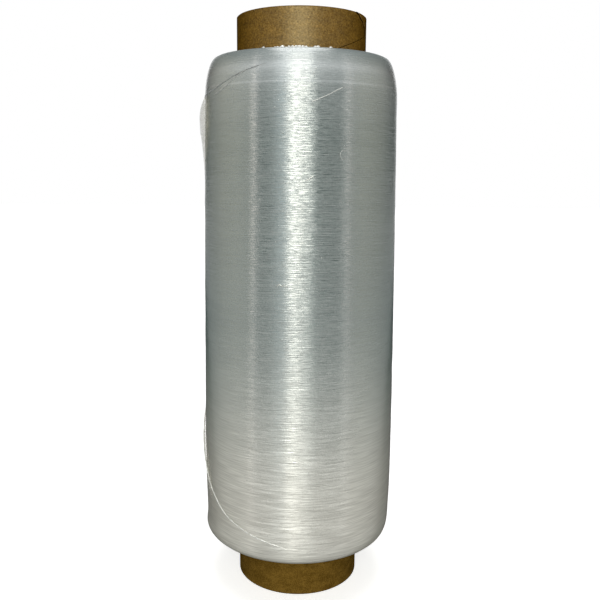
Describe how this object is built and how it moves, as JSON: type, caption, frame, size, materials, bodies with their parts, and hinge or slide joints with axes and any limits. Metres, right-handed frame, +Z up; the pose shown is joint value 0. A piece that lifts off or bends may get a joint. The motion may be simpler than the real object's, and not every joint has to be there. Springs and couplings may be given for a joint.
{
  "type": "stretch wrap roll",
  "caption": "Hand roll of clear stretch film wound on a paperboard core that stands bare at both ends, for wrapping boxes and pallets.",
  "frame": {"origin": "on the axis of the core's bore, in the plane of the core's lower end", "axes": "+Z up along the core's axis, -Y to the viewer in front, +X to the viewer's right"},
  "size_m": [0.133, 0.1312, 0.381],
  "materials": {
    "core": "brown kraft paperboard, spiral wound, matt with a faint sheen",
    "film": "clear stretch film wound tight: grey and silvery, glossy, with fine wrinkles round the roll"
  },
  "bodies": {
    "root": {"core": "core", "film": "film"}
  },
  "joints": []
}
